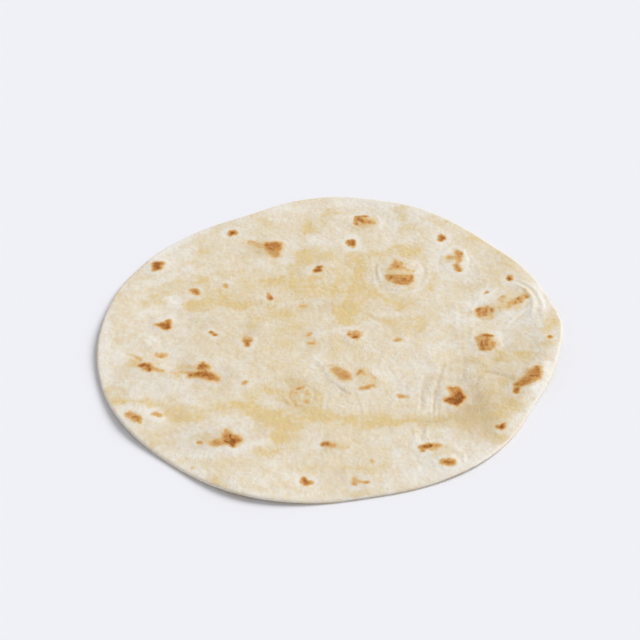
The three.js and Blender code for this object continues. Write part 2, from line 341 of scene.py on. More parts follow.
# %% The toasted marks of the front right quarter
TOAST_FRONT_RIGHT = [
    (10.6, 0.8, 13.4, 0.6, 1.6, 1.7, 0.5), (10.4, -0.4, 13.8, -0.8, 1.3, 1.4, 0.6),
    (11.2, -1.9, 13, -2, 0.7, 0.8, 0.95), (9.6, 0, 9.8, -0.4, 0.5, 0.75),
    (12.5, -3, 12.4, -3.8, 1.1, 0.9, 0.36), (29.2, -6, 31, -5.8, 0.7, 0.8, 0.6),
    (30.6, -4.4, 30.6, -3.8, 0.8, 0.6, 0.4), (3, -22.8, 6.6, -27, 2.5, 3.2, 0.52),
    (4.2, -25.4, 6.4, -27.4, 1.5, 0.6), (0.2, -19.9, 3, -20.2, 0.9, 0.28),
    (7.6, -28.2, 8.8, -29.4, 1.2, 0.8, 0.45), (1.8, -22.8, 2.2, -24.6, 0.5, 0.6),
    (12, -26.2, 13.2, -24.4, 0.6, 0.9, 0.7), (13.4, -24.8, 14.6, -26.4, 1.1, 0.8, 0.5),
    (18.2, -28.2, 18.8, -29.8, 0.9, 0.8, 0.34), (13.5, -27, 18, -29.5, 1.6, 1.8, 0.17),
    (12.8, -33, 18, -32.6, 1.2, 0.14), (17.6, -26.8, 17.7, -27, 0.4, 0.4),
    (13, -35.2, 15.4, -35, 0.9, 1, 0.65), (16.2, -34.4, 18, -33.8, 0.8, 0.5),
    (15.2, -34.9, 15.3, -35, 0.5, 0.8), (29, -41.7, 30, -42.1, 1.1, 1, 0.62),
    (31, -42.3, 32.2, -42.5, 0.35, 0.25, 0.45), (50.2, -38.2, 52.2, -41.2, 1.5, 2.2, 0.78),
    (52.8, -38.4, 53.4, -40.6, 1.3, 1.7, 0.95), (50.4, -42.6, 51.8, -42.2, 1, 1.2, 0.7),
    (53.2, -41.6, 53.8, -43.8, 1.7, 2.3, 1.1), (48, -45, 52.4, -44.8, 1.2, 3, 1),
    (52, -46.6, 52, -49, 2, 0.8, 1.1), (47.8, -45.8, 51.4, -48.2, 0.6, 1.1),
    (53.4, -44.6, 52.6, -46.6, 1.4, 1.2, 1.15), (67.5, -7.8, 68, -12, 3.5, 4.4, 0.5),
    (67.6, -5.9, 70.9, -6.3, 0.5, 0.6, 0.95), (68.8, -6.6, 68.4, -8.4, 0.4, 0.8),
    (66.1, -9.6, 66, -14.6, 0.5, 0.6, 0.95), (68.1, -9.2, 67.8, -12.4, 0.5, 0.9),
    (64.6, -7, 64.8, -8.4, 0.5, 0.4, 0.75), (66.4, -15.2, 69, -15, 0.8, 0.68),
    (70.6, -11.4, 70.6, -13.6, 1, 0.65), (76.8, -43.4, 77.4, -41, 1, 1.2, 0.9),
    (78.8, -38.5, 81.6, -36.6, 1.9, 2.9, 0.74), (77.4, -38.3, 77.8, -38, 0.7, 0.95),
    (82.8, -35.4, 85.2, -32.6, 2.9, 3.6, 0.64), (83.6, -36.4, 86, -34.8, 2.3, 2.4, 0.6),
    (86.4, -31.4, 87.4, -29.2, 2.8, 1.7, 0.65), (84, -33.8, 86.6, -34.2, 0.8, 0.7, 0.88),
    (87.1, -28.6, 87, -33.6, 0.5, 0.6, 0.95), (88.2, -30.2, 88.4, -32, 0.6, 0.5, 0.3),
    (69.6, -62, 68.6, -63.8, 0.6, 1.3, 1.1), (67, -63.4, 68.2, -64, 0.8, 1, 0.85),
    (68.6, -64.2, 68.6, -65, 0.9, 0.5, 1.1), (34.6, -73.2, 37.2, -72.3, 0.7, 1.4, 0.85),
    (36.2, -72.6, 38.8, -72.2, 0.8, 1.15), (38.6, -72.2, 42, -72.1, 1.6, 1.3, 0.65),
    (42, -72.6, 43.6, -73.4, 0.6, 0.4, 0.3), (35.6, -74.2, 35.4, -74.8, 0.5, 0.3, 0.7),
    (39.2, -74, 41, -74.2, 0.9, 0.7, 0.4), (44, -74, 46, -78.2, 0.5, 0.13),
    (43.2, -81.8, 46.4, -82.5, 1.5, 1.8, 0.8), (43.6, -82.2, 45.4, -82.2, 0.7, 0.95),
    (45, -80.8, 45.2, -80.8, 0.6, 0.6), (7.4, -88.6, 7.4, -90.8, 1, 1.3, 0.5),
    (6.9, -91.2, 7.6, -91.4, 0.6, 0.7), (9, -90.2, 11, -90.6, 0.8, 0.7, 0.4),
    (11.4, -90.7, 12.4, -90.7, 0.8, 0.7, 0.65), (14.6, -78.6, 15.2, -79.4, 0.6, 0.7, 0.4),
    (95, -9.6, 95.4, -9.7, 0.55, 0.5, 0.9), (60, -62.4, 60.2, -62.6, 0.6, 0.25),
    (17.8, -90.6, 18.6, -91, 0.6, 0.2), (60.8, -68.2, 61.4, -70.6, 0.6, 0.2),
    (63.6, -69, 64.4, -69.6, 0.6, 0.2),
]
print("strokes, front right:", len(TOAST_FRONT_RIGHT))

# %% The toasted marks of the front left quarter
TOAST_FRONT_LEFT = [
    (-73.8, -6.2, -71, -6.9, 1.7, 2.2, 0.4), (-72.2, -7.2, -71.6, -7.8, 0.8, 0.7, 0.62),
    (-82.8, -6.8, -80.6, -9, 0.9, 0.38), (-86.6, -4.8, -83.4, -6.2, 0.7, 0.26),
    (-80.8, -12.6, -77.4, -12.8, 1, 1.4, 0.9), (-80.3, -12.8, -79, -12, 0.8, 0.7, 1.1),
    (-76.8, -13.2, -76.8, -16, 0.9, 1), (-78.4, -15, -75.6, -15.4, 1.2, 1.5, 0.7),
    (-75.2, -15.4, -71, -17.2, 1.2, 0.9, 0.5), (-85.4, -12, -85.2, -11.6, 0.7, 0.6, 0.2),
    (-67, -18, -64.4, -19.6, 0.9, 1.2, 0.28), (-63.8, -18.4, -59.6, -19, 0.7, 0.8, 0.38),
    (-64.7, -20.4, -64.6, -21.2, 0.6, 0.4, 0.3), (-62, -14.6, -57.6, -15.2, 0.9, 1.1, 0.26),
    (-53.8, -13.3, -53.8, -15.3, 0.9, 2.3, 0.85), (-55.4, -16.6, -52.5, -15.8, 1, 1.3, 0.9),
    (-52.6, -15.8, -51, -16.6, 1, 0.7, 0.6), (-55, -15, -53.2, -15.2, 0.7, 0.8, 1.05),
    (-58.8, -20.8, -56, -20.4, 1.8, 2.3, 0.78), (-55.4, -19.9, -53.2, -20.5, 2, 2.5, 1),
    (-53.8, -17.4, -52.4, -18.6, 1.4, 1.6, 0.6), (-52.8, -20.9, -50.4, -22.5, 2.6, 2.7, 0.85),
    (-50, -22.9, -47.8, -24.3, 2.5, 1.8, 0.64), (-47.6, -24.2, -46.8, -24.6, 1, 0.7, 0.35),
    (-36.2, -27.8, -35.6, -27.4, 1, 0.6), (-13.6, -33.4, -11.6, -32.6, 0.9, 0.58),
    (-10.4, -41, -9.8, -42.2, 1.3, 1.2, 0.44), (-9.3, -36.9, -9.2, -36.9, 0.6, 0.45),
    (-14.5, -35.8, -14.3, -36, 0.6, 0.45), (-15.1, -41, -14.8, -43.6, 0.4, 0.42),
    (-16.8, -37, -15.8, -34, 0.4, 0.35), (-18.6, -36.6, -18.4, -36.8, 0.3, 0.22),
    (-10.4, -37.6, -9.6, -34.6, 0.5, 0.4, 0.36), (-20.2, -40.2, -20, -40.4, 0.4, 0.22),
    (-17.6, -42.6, -17.4, -42.8, 0.3, 0.22), (-13.6, -43.8, -11.6, -44.6, 0.4, 0.34),
    (-13.8, -40.4, -13.6, -40.6, 0.3, 0.22), (-84, -42.8, -80.8, -45.8, 1.9, 2.3, 0.55),
    (-81.4, -44.8, -79.8, -46.4, 1.2, 0.85), (-79.6, -47, -79, -48.4, 0.8, 0.5, 0.6),
    (-73.2, -43.4, -71.2, -44.6, 1.2, 0.55), (-43.7, -55.8, -43.2, -59.8, 1.2, 3, 0.52),
    (-42.8, -60.2, -40.6, -62, 2.6, 3.2, 0.74), (-41, -62.4, -38.4, -62.2, 2.2, 1.6, 0.85),
    (-41.4, -62.8, -40.7, -64.6, 1.9, 1.2, 0.95), (-42.3, -59, -41, -65, 0.4, 0.5, 1),
    (-44, -62.4, -40.7, -65.3, 0.5, 0.6, 1.1), (-40.6, -62.4, -40.2, -63.8, 0.9, 1.05),
    (-43.8, -62.6, -48.4, -63, 2.2, 0.55), (-48, -63.6, -47.2, -63.8, 1, 0.75),
    (-50, -62.6, -52.4, -61.2, 0.9, 0.8, 0.3), (-54.9, -62.3, -54, -62.4, 0.8, 0.6),
    (-50.5, -57.7, -50.4, -57.6, 0.5, 0.25), (-4, -67.6, -2.6, -67.8, 1.1, 1.3, 0.85),
    (-4.2, -67.4, -4.2, -68, 0.6, 1), (-1.8, -68.2, -0.2, -68.8, 1.4, 1.2, 0.6),
    (0.8, -69.4, 4.6, -70.4, 1, 0.8, 0.31), (5.8, -70.1, 5.9, -70.1, 0.5, 0.35),
    (-12.7, -87, -11.8, -89.2, 0.9, 1.1, 1), (-13.4, -88.2, -10.4, -89, 0.8, 1, 0.7),
    (-10, -89.2, -9.6, -89.6, 0.8, 0.6, 0.5), (-57.2, -76.8, -56.9, -77.2, 0.4, 0.35),
    (-34.2, -74.6, -33.8, -74.2, 0.5, 0.18),
]
print("strokes, front left:", len(TOAST_FRONT_LEFT))

# %% Turn the strokes into two fields, the toasting and the pale halo round it
# The ragged edge: lump size and reach
RAGGED_EDGE = (2.4, 0.35)

# How far outside a stroke's outline toasting begins, how deep inside it is full, and the share of the half
# width at which a narrow stroke is full
TOAST_FADES_OVER = 1.25
TOAST_IS_FULL_AT = 1.5
NARROW_IS_FULL_AT = 0.8
TOAST_POWER = 10

# The golden fringe: its level, how far out it reaches, how much further for each millimetre of half width,
# how deep inside it is full, and how quickly it comes with the toasting
FRINGE_LEVEL = 0.25
FRINGE_REACH = 0.7
FRINGE_WIDENS_BY = 0.9
FRINGE_IS_FULL_AT = 0.2
FRINGE_GAIN = 1.6

# The halo: where it has faded, where it is full, and how quickly it comes with the toasting
HALO_FADES_OVER = 4.2
HALO_BEGINS = 1.4
HALO_GAIN = 1.3


def toast_fields(x, y, strokes, seed):
    """The toasting, (sum of level^10)^(1/10), which melts strokes that touch into one mark, with a golden
    fringe that is wider on wide strokes; and the pale halo outside it, where the dough stood clear."""
    x, y = shifted(x, y, *RAGGED_EDGE, seed)
    total = np.zeros_like(x)
    halo = np.zeros_like(x)
    for *stroke, level in strokes:
        depth = stroke_depth(x, y, *stroke)
        half = max(stroke[4:])
        full = min(TOAST_IS_FULL_AT, NARROW_IS_FULL_AT * half)
        total += (level * smooth_step(depth, -TOAST_FADES_OVER, full)) ** TOAST_POWER
        fringe = smooth_step(depth, -FRINGE_REACH - FRINGE_WIDENS_BY * half, FRINGE_IS_FULL_AT)
        total += (FRINGE_LEVEL * min(1, FRINGE_GAIN * level) * fringe) ** TOAST_POWER
        around = smooth_step(depth, -HALO_FADES_OVER, -HALO_BEGINS)
        halo = np.maximum(halo, min(1, HALO_GAIN * level) * around)
    return total ** (1 / TOAST_POWER), halo


TOAST = TOAST_BACK_LEFT + TOAST_BACK_RIGHT + TOAST_FRONT_RIGHT + TOAST_FRONT_LEFT
print("toasted strokes in all:", len(TOAST))

# %% [markdown]
# ## Golden places, pale places with painted highlights, and painted shade
# Between its marks the skin is cream, but not evenly. Broad patches that lay close to the griddle turned
# golden, and the dough round a raised blister stayed nearly white and floury, because it never touched.
# The bright strip along the curled right rim is a painted highlight. Where the sheet lies in shade, as in the
# hollow beside that rim, the shade is painted in a darker tan. All three are soft strokes, listed under
# their strength from 0 to 1, and a place where several overlap is a little stronger than each.

# %% The golden patches of the top
# Some strokes in the hollow inside the right rim, near x 54 to 77 and y -20 to -60, also darken it as painted
# shade.
GOLD = {
    0.9: [(9.5, 18, 9.5, 10, 4.6)],
    0.85: [
        (-92, -33, -86, -35, 2.2, 1.6), (-86, -36, -77, -35.8, 1, 0.8), (-77, -35.8, -70, -38, 0.8),
        (-31, -47, -22, -53, 4, 4.4),
    ],
    0.8: [
        (14.5, 55, 15, 48, 3.6, 3.4), (-26, 40.5, -4, 40.5, 2.4, 2.6), (-59, 25.5, -53, 25.5, 4.2),
        (-70, -38, -62, -41, 0.8, 1), (-65, -45, -59.5, -47, 3.2), (-9, -51, -2, -51, 4.4),
        (3.5, -54, 13, -57, 2.6, 2.8),
    ],
    0.75: [(-39, -41.5, -32, -42, 3, 3.2), (13, -56.4, 25, -58.4, 2.6, 2.4), (68, 9, 82, 14, 4)],
    0.7: [
        (21.5, 31, 27, 22, 2.2, 2), (-49, -86, -46, -88, 2.6), (-14, -31, -10, -42, 5, 6),
        (98, 1, 94.5, -4.5, 2, 2.4), (32, 42, 36, 39, 4, 5), (14, -28, 16, -34, 4), (56, 50, 58, 50, 3),
    ],
    0.65: [
        (-8.5, 60, -8.5, 53, 3.2, 3.4), (-5, 82, -5, 76, 2.6, 3), (27, 22, 34, 16.5, 2, 2.2),
        (49.8, 39, 47.4, 29, 1, 1.9), (31, -56.5, 58, -57, 2, 2.2), (80, -46, 76, -53, 2.4, 3),
        (17, 76, 23, 81, 4, 4.4),
    ],
    0.62: [(-22, -54, -22, -63, 5, 4)],
    0.6: [
        (15, 46, 15.5, 33, 3, 3.4), (38, 57.5, 43.5, 58, 4.6, 4.2), (37, -56.2, 44, -56.4, 2),
        (62, -54, 74, -53, 5), (-22, -36, -18, -39, 4), (-80, 28.5, -72, 28.5, 1.3, 1.6),
        (40, 4, 41, 0, 2.5), (-12, 48, -10, 42, 3, 3.6), (-84, -12, -76, -13, 3), (-58, 57, -56, 55, 2),
    ],
    0.55: [
        (-39, 24, -35, 24, 3), (-50, 26, -41, 25, 3, 2.6), (-66.5, 42, -65.5, 42, 2.4),
        (4, -97, 12, -97, 2.4), (89, -14, 94, -12.6, 1.1, 1.6), (-13, -46, -14, -54, 5),
        (80, 17, 86, 20, 3), (-62, -15, -52, -17, 3),
    ],
    0.52: [(-13, 36, -7, 36, 3.6)],
    0.5: [
        (-30, -71, -23, -70.5, 1.6, 1.8), (15, -54, 20, -54, 2.2), (4, 89, 7, 89, 2.6),
        (7.5, 39, 7.5, 37, 2), (47.5, 13.5, 47.5, 8.5, 1), (-55.5, 45.5, -55.5, 42.5, 2),
        (-79, 31, -74, 32, 2), (-76, 36, -72, 36, 2.4), (72, -21, 85, -20, 3.2, 3), (74, -16, 76, -21, 2.5),
        (63, -22, 65, -28, 3), (64, -66, 68, -71, 3), (-36, 4, -32, 9, 2.6, 2.4), (-4, 61, -3, 54, 3),
        (-72, 40, -60, 38, 3), (-6, 82, -3, 75, 3), (-70, -41, -56, -48, 3, 3.4),
        (54, -44, 57, -56, 3.4, 4), (-36, 42, -32, 40, 2, 2.4), (-26, 87, -24, 83, 3),
        (14, -16, 17, -17, 4),
    ],
    0.48: [(22, 27, 34, 20, 4)],
    0.45: [
        (-57, -43, -44, -41, 2), (39, 88, 39, 82, 1.5, 1.6), (39, 73.5, 44, 73.5, 2.4),
        (-34, 42, -34, 39, 1.6, 1.8), (-53, 37, -53, 34, 1.6), (-12, -38, -12, -44, 2.2),
        (-75, -57, -71, -57, 1.9), (-10, -4, -5, -5, 3.6, 3), (-52, 30, -46, 28, 3),
        (40, -60, 68, -60, 2.5, 4),
    ],
    0.4: [
        (41, 7, 42, 0, 1.8, 1.6), (50, -62, 60, -63, 3, 2.6), (1.5, 85, 1.5, 79, 1.6),
        (20, 54.5, 27, 55.5, 2, 1.8), (27, 7, 30, 7, 1.8), (60, 28.5, 64, 28.5, 2.2),
        (-54.5, 66, -53.5, 66, 2.2), (-25, 88, -25, 80, 1.4, 1.5), (-13, 6, -13, 5.4, 1.6),
        (-25, -7, -24, -18, 3, 2.6), (95, 0, 95, -10, 1.4, 1.3), (-37, -48, -34, -48, 2.5),
        (40, 19, 44, 13, 3), (16, 26, 26, 24, 3), (20, 10, 30, 3, 3), (79, -43, 78, -46, 2),
        (28, 37, 28, 34, 2.5), (34, 32, 37, 29, 4), (-10, 20, 4, 19, 3), (-46, 47, -38, 47, 3),
        (50, 82, 57, 76, 3), (73, 64, 84, 46, 4), (-3, -20, 2, -24, 3), (-36, -32, -32, -38, 3),
        (-34, 70, -26, 64, 3, 4), (-16, -66, -13, -54, 3, 4), (0, 57, 4, 56, 2.5),
        (-2, -68, 3, -69, 4, 3.5), (8, 92, 11, 89, 3), (-26, 24, -22, 25, 3), (38, 90, 39, 82, 2.5),
    ],
    0.35: [
        (34, 16.5, 41, 7, 1.8), (53, 78, 61, 78, 1.2), (61, 78, 68, 74, 1.2),
        (69, 62.5, 69, 59.5, 1.6, 1.8), (0, 32, 4, 32, 3), (-73, -62, -69, -62, 1.5),
        (6, -83, 17, -83, 1.8, 2), (58, -21, 61, -21, 2.6), (64, -38, 64, -48, 4), (32, 57.5, 35, 58, 2.2),
        (-32, 16, -26, 16, 3), (-37, 93, -26, 90, 3, 2.6), (-96, -27, -86, -30, 3), (42, 53, 45, 50, 2.5),
        (-31, -61, -29, -57, 3), (-56, -61, -46, -62, 3),
    ],
    0.3: [
        (12, 30, 12, 29, 2.2), (-17, 19, -17, 13, 2), (-30, -34, -24, -34, 1.6),
        (-17, -80, -5, -80, 1.1, 1), (20, -77, 20, -83, 1.3, 1.4), (74, -34, 77, -35, 3),
        (12, 50, 12, 14, 7, 9), (-40, -44, 4, -52, 5), (70, -38, 68, -50, 6, 7),
    ],
    0.28: [(-52, 28, 14, 40, 8, 11)],
    0.25: [
        (-36.5, -87, -33.5, -87, 1.8), (97, 8, 93, -24, 3), (-25, -26, -16, 12, 10, 9),
        (37, 14, 36, 4, 4, 3), (42, -76, 45, -75, 3),
    ],
    0.2: [(-18, 32, -2, 32, 3.2), (-45, -75, -41, -75, 3)],
    0.15: [(30, 22, 34, 48, 9)],
}
print("golden strokes:", sum(map(len, GOLD.values())))

# %% The pale rings, pale stretches and painted highlights of the top
PALE_AND_HIGHLIGHT = {
    # The strokes along the right rim, from about (94, 23) down to (72, -67), are a painted highlight where
    # the curled rim catches the light.
    1: [(95.5, -21, 87.5, -42, 2.6, 3.4), (90, -33, 84, -43, 4)],
    0.95: [(-69, 33, -67, 28, 3), (94, 23, 95.5, 13, 3)],
    0.9: [(94.8, 13, 93.8, 5.4, 2.8, 2), (99, -12, 95.5, -21, 1.6, 2.6), (-78, 64, -56, 84, 4)],
    0.8: [(-98, 22, -98, -25, 3.5)],
    0.75: [(-52, -61, -36, -59, 11), (82, -53, 72, -67, 2.4, 1.8)],
    0.7: [(64, 16, 71, 20, 3), (76, 7, 87, 9, 3), (-80, 22, -74, 19, 3)],
    0.65: [
        (-84, -44, -73, -43.5, 5.5, 5), (-92, 0, -90, -18, 4, 5), (-24, -22, -21, -27, 3),
        (-40, 36, -35, 30, 3), (79, 2, 90, 2, 4),
    ],
    0.6: [
        (54, 60, 53.5, 42, 3.6), (65.5, 54, 65.5, 42, 2.2, 2.4), (77, -2, 77, -8, 3.2),
        (34, -78.5, 37, -79, 2.2), (22, -93, 50, -84, 4, 5), (50, -84, 64, -74, 5, 4),
        (26, 46, 27, 42, 2.6), (-37, 80, -33, 75, 3), (17, 45, 18, 41, 2.4), (-18, 16, -16, 13, 2.4),
    ],
    0.55: [(-76, 6, -70, 18, 5), (-90, -25, -64, -28, 5, 6)],
    0.5: [
        (53, 6, 58, 6, 4.2), (87.5, -42, 82, -53, 3.2, 2.4), (-2, 70, 4, 66, 4), (-78, 56, -70, 74, 5),
        (-64, -76, -53, -83, 3), (-42, -88, -36, -91, 3), (-66, 28, -62, 6, 4), (-76, 42, -73, 42, 3),
        (-70, 64, -61, 67, 4), (-24, -44, -20, -45, 2.4), (8, 51, 13, 57, 3, 4), (89, -17, 91, -22, 3),
        (-9, 27, -5, 27, 3), (-16, 55, -15, 52, 3), (70, 13, 78, 9, 3, 4), (34, 54, 36, 50, 2.4),
        (4, -34, 9, -31, 4, 3), (-27, 55, -25, 52, 3),
    ],
    0.45: [
        (42.5, 45, 42, 30, 3.4, 3.6), (10, -18, 14, -23, 3), (-13, 71, -12.5, 66, 2.8),
        (-31, 28, -28, 27, 2.4),
    ],
    0.4: [
        (24.5, 46, 25, 38, 2.4), (28, 29, 40, 28, 2.4), (-34, 86, -29, 86, 2.2),
        (47.5, -64, 48, -74, 2.8, 3), (-30, -68, -32, -66, 3), (-66, -68.5, -64, -68.5, 3),
        (-35, 91, 20, 99, 4), (31, 92, 29, 64, 5), (-86, 2, -70, 0, 4), (-40, -84, -32, -86, 5),
        (60, 44, 66, 36, 4), (-82, 44, -78, 42, 3), (36, 72, 37, 66, 2), (5, 76, 14, 76, 3),
        (-54, 58, -48, 57, 3), (46, -12, 62, -12, 5), (86, -10, 91, -9.5, 3), (-62, 47, -60, 50, 3),
        (-40, -93, 0, -97, 3), (48, -72, 52, -76, 3), (26, 13, 34, 11, 3), (34, 16, 36, 10, 3),
        (-84, -32, -74, -33, 3), (-80, -50, -75, -50, 3), (39, -36, 38, -49, 2.4, 2.6), (-26, 3, -24, 0, 3),
        (-15, 10, -13, 8, 3),
    ],
    0.35: [
        (31, 98, 31, 64, 3.6), (12, 95, 23, 94, 4.6), (20, 99, 60, 80, 4), (-76, 45, -62, 58, 5),
        (16, -86, 24, -84, 3), (28, -76, 34, -80, 4), (52, 24, 60, 22, 4), (-50, -10, -32, -24, 5, 4),
    ],
    0.32: [(24, -14, 44, -36, 11, 13)],
    0.3: [
        (-78, -22, -60, -8, 7, 6), (14, -46, 46, -50, 3), (18, 62, 22, 58, 3), (38, 55, 42, 52, 3),
        (60, -33, 66, -34, 3), (44, 60, 48, 58, 3), (61, 66, 62, 62, 2.4), (48, -31, 56, -32, 3),
    ],
    0.25: [(15, -15, 24, -22, 5), (-38, -80, -30, -76, 4)],
    0.2: [(46, 82, 60, 72, 5, 4)],
    0.15: [(-8, 87, 8, 88, 6)],
}
print("pale strokes:", sum(map(len, PALE_AND_HIGHLIGHT.values())))

# %% The painted shade of the top
# A darker tan painted where the sheet lies in shade, most of all in the hollow beside the right rim.
PAINTED_SHADE = {
    0.6: [(58, -52, 62, -68, 8, 5), (55, -37, 56, -49, 4), (38, -56.5, 62, -57.5, 2.4, 3.4)],
    0.55: [(57, -36, 58, -52, 7, 8)],
    0.5: [(45, -32, 44, -38, 2.5), (57, -40, 57, -46, 2.5)],
    0.4: [(-13, -30, -13, -42, 6), (-9, 1, -8, -6, 4), (52, -64, 54, -66, 3)],
    0.35: [(-34, 8, -33, 2, 5), (-60, -12, -46, -20, 5), (-8, 22, 3, 20, 4), (-68, -40, -62, -46, 4)],
    0.3: [
        (73, -32, 76, -42, 4), (14, -24, 16, -30, 4), (-62, -60, -30, -57, 8, 7), (34, 46, 38, 38, 5, 6),
        (32, -38, 35, -43, 4, 3), (-66, 20, -66, 10, 4), (68, -46, 71, -48, 4), (-76, 16, -72, 12, 4),
        (0, -66, 2, -68, 4), (4, -86, 8, -92, 4, 5), (57, -24, 60, -24, 4, 3),
    ],
    0.25: [
        (-86, -24, -48, -26, 9, 10), (-28, 66, -12, 66, 7, 5), (-8, 48, -4, 50, 6, 5),
        (48, -28, 44, -42, 4), (-54, 14, -50, 16, 5),
    ],
    0.2: [(-78, -6, -68, -8, 5, 4), (80, 50, 84, 46, 5)],
    0.15: [(-30, 27, -26, 27, 4, 3)],
    0.13: [(36, -16, 44, -24, 5, 6)],
    0.12: [(-84, 6, -52, 4, 9, 11)],
}
print("dull strokes:", sum(map(len, PAINTED_SHADE.values())))


# %% Turn soft strokes into one field
def soft_field(x, y, strokes_by_strength, softness):
    """One minus the product of (1 - strength * step). An edge fades over `softness` either way."""
    left = np.ones_like(x)
    for strength, strokes in strokes_by_strength.items():
        for stroke in strokes:
            left *= 1 - strength * smooth_step(stroke_depth(x, y, *stroke), -softness, softness)
    return 1 - left


def together(first, second):
    """Two shares as one that is stronger than each: 1 - (1 - first) * (1 - second)."""
    return 1 - (1 - first) * (1 - second)


print("two half shares together:", together(0.5, 0.5))

# %% [markdown]
# ## Creases and wrinkles
# The sheet was hot and puffed, then cooled and sank. That leaves narrow ridges and grooves at the feet of
# the big blisters, a few creases beside the rim, and a patch of fine wrinkles. They are real relief here,
# up to about half a millimetre high, because a bump in the material would vanish from the mesh. Ridges also
# get a painted highlight, and grooves a painted shade. A crease is a chain of points with a height, above or
# below the skin, and a half width; its corners are cut twice to make a curve.

# %% The creases of the top
CREASES = [
    (0.13, 0.7, (25.8, 49), (24.8, 42), (25.8, 35.5)), (-0.12, 0.6, (24, 49), (23.2, 42), (24, 36)),
    (-0.11, 0.6, (45.4, 46), (46, 39), (43.4, 32.5)), (0.11, 0.7, (47.4, 44), (47.6, 38), (44.6, 31)),
    (0.14, 0.7, (28.5, 30.4), (34, 28.4), (41, 30.2)), (-0.08, 0.5, (30, 28.2), (35, 27), (39.5, 28)),
    (0.1, 0.5, (33, 26.4), (38, 26.2), (42, 27.8)), (0.16, 0.7, (64.4, 55), (65.6, 48), (65, 41)),
    (-0.1, 0.6, (66, 54), (67, 48), (66.4, 41.5)), (0.12, 0.6, (67.8, 52), (68.4, 47), (67.6, 42)),
    (0.14, 0.8, (59, 57), (55.6, 52.5), (54.4, 47), (55.4, 42)),
    (0.24, 0.7, (84, 29), (90, 23), (91.6, 14), (89.5, 5)),
    (-0.14, 0.6, (86, 30), (92, 24), (93.8, 14), (92, 4)),
    (0.16, 0.6, (89, 29), (94, 23), (95.6, 13), (94, 2)), (0.2, 0.5, (78, 1), (82, 5), (87, 10)),
    (-0.12, 0.5, (79.6, 0), (83.6, 4), (88, 8.4)),
    (0.16, 0.8, (61, 1), (64.4, 10), (65, 15), (68, 18.6), (72, 21), (76.5, 25.5)),
    (0.13, 0.8, (-8, -12), (-3, -18), (-1, -25), (3, -32), (8.5, -38)),
    (-0.14, 0.6, (2.5, -33), (5, -36), (8, -39)), (0.1, 0.7, (-4, -13), (0, -19), (2, -27)),
    (0.1, 0.6, (23.8, -12), (22.8, -18), (21.6, -23)),
    (-0.13, 0.75, (49.5, -21), (46.4, -30), (43.6, -38), (43.2, -45), (41, -53)),
    (0.07, 1.2, (46, -20), (43.4, -30), (41, -40), (39.4, -50)),
    (-0.12, 0.7, (40.4, -26), (38.4, -38), (36.6, -52)),
    (0.06, 1.1, (49, -35), (46.6, -39), (45.6, -45), (45.8, -50)),
    (-0.09, 0.7, (52.4, -19), (50.6, -26), (49.6, -33)),
    (-0.14, 0.6, (48, -23), (46.6, -29), (45.2, -35), (43.8, -41)),
    (-0.12, 0.7, (58, -19), (57, -27), (55.8, -34)), (-0.16, 0.7, (63.2, -31.5), (61.6, -35), (60.2, -38)),
    (-0.2, 0.8, (65, -29), (71, -31.4), (77.4, -36)), (-0.12, 0.6, (68.6, -21), (70, -22.4), (72, -23.6)),
    (0.09, 0.9, (57.8, 19), (56.4, 8), (57, -5)), (0.08, 0.8, (60.6, 9), (59.4, 0), (59.8, -9)),
    (0.12, 0.8, (63.4, -1), (61.6, -8), (62.6, -16)), (0.1, 0.7, (72.6, -3), (74.2, -9), (72.8, -15)),
    (0.1, 0.7, (33.6, -60), (32.8, -66), (34, -71)), (-0.1, 0.6, (36, -61), (35.6, -66), (36.2, -70)),
    (0.09, 0.6, (38, -61), (37.8, -66), (38.6, -70)), (-0.09, 0.7, (44, -73.6), (48.6, -77), (50, -81)),
    (0.12, 0.7, (45.5, -72.6), (50.4, -76), (52, -80), (50.4, -85)),
    (0.12, 0.7, (35, -76), (33.2, -79), (35, -83)),
    (0.1, 0.8, (-60, -55), (-52, -48.5), (-42, -47.5), (-32, -51)),
    (0.08, 0.8, (-28, -56), (-26, -62), (-30, -69)),
    (0.09, 0.7, (11, 84), (12.6, 87.6), (17, 89.4), (24, 88)),
    (0.09, 0.7, (26, 85), (28.6, 81), (27.4, 77)), (0.12, 0.45, (-18.5, -33), (-19.5, -38), (-17, -43)),
    (-0.1, 0.4, (-16.5, -33), (-17.5, -38), (-15.5, -44)),
    (0.1, 0.4, (-15, -37), (-12, -38.6), (-12.6, -42)), (-0.1, 0.4, (-8, -33), (-6.6, -38), (-8.4, -44)),
    (0.1, 0.45, (-14, -30.4), (-9, -30.8), (-6, -34)), (-0.07, 0.9, (-20, 30), (0, 24), (24, 8), (32, -4)),
    (0.07, 1, (-70, -1), (-58, -4), (-44, -3)),
]

# All of them stand out this many times further, so that they show under a soft light
CREASES_STAND_OUT = 2.0
print("creases:", len(CREASES))

# %% Wide soft folds, written like the creases
# The roll inside the right rim, and the hollow beside it
FOLDS = [
    (0.45, 3.8, (88, 32), (92, 14), (92.8, 0), (93, -12), (92, -22), (88, -32), (83, -41.5), (78, -51),
     (66, -67)),
    (-0.65, 7.5, (54, -8), (54, -26), (54, -46), (62, -65)),
]


def cut_corners(points):
    """Puts two points on each side of the chain, a quarter in from its corners, and keeps both ends."""
    start = points[:-1]
    end = points[1:]
    inner = np.stack([start * 0.75 + end * 0.25, start * 0.25 + end * 0.75], axis=1).reshape(-1, 2)
    return np.concatenate([points[:1], inner, points[-1:]])


